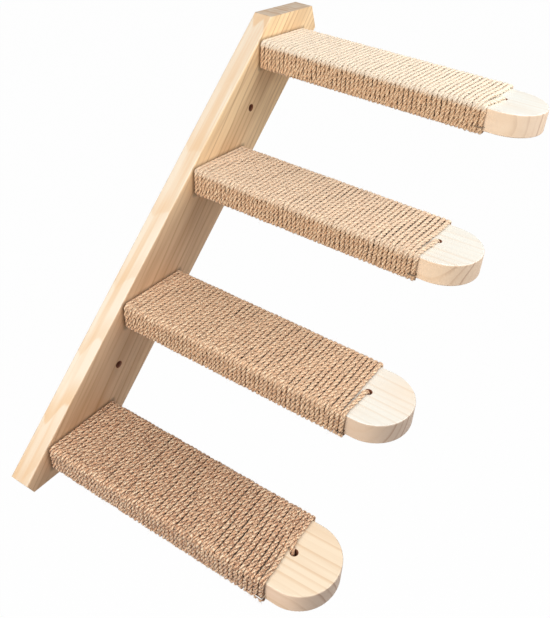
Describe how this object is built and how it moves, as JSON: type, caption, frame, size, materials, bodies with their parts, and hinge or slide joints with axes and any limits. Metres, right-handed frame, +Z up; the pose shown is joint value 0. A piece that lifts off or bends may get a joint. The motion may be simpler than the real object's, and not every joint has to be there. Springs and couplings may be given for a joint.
{
  "type": "wall mounted cat tree",
  "caption": "Slanting pine board fixed flat to a wall, carrying level round-ended plank treads wound with jute rope, as a climbing stair for a cat.",
  "frame": {"origin": "on the wall, at the back face of the board, halfway between its two wall screw holes", "axes": "+Z up, +Y into the wall, treads reach out towards -Y, +X along the wall towards the board's upper end"},
  "size_m": [0.5555, 0.388, 0.4644],
  "materials": {
    "board_pine": "planed and eased, unvarnished",
    "tread_pine": "sanded, unvarnished",
    "jute": "rough twisted natural fibre",
    "staple_steel": "plain wire",
    "screw_steel": "zinc plated"
  },
  "bodies": {
    "root": {"backboard": "board_pine", "tread_1": "tread_pine", "jute_wrap_1": "jute", "jute_rope_1": "jute", "rope_staple_1": "staple_steel", "tread_screw_1_left": "screw_steel", "tread_screw_1_right": "screw_steel", "tread_2": "tread_pine", "jute_wrap_2": "jute", "jute_rope_2": "jute", "rope_staple_2": "staple_steel", "tread_screw_2_left": "screw_steel", "tread_screw_2_right": "screw_steel", "tread_3": "tread_pine", "jute_wrap_3": "jute", "jute_rope_3": "jute", "rope_staple_3": "staple_steel", "tread_screw_3_left": "screw_steel", "tread_screw_3_right": "screw_steel", "tread_4": "tread_pine", "jute_wrap_4": "jute", "jute_rope_4": "jute", "rope_staple_4": "staple_steel", "tread_screw_4_left": "screw_steel", "tread_screw_4_right": "screw_steel"}
  },
  "joints": []
}
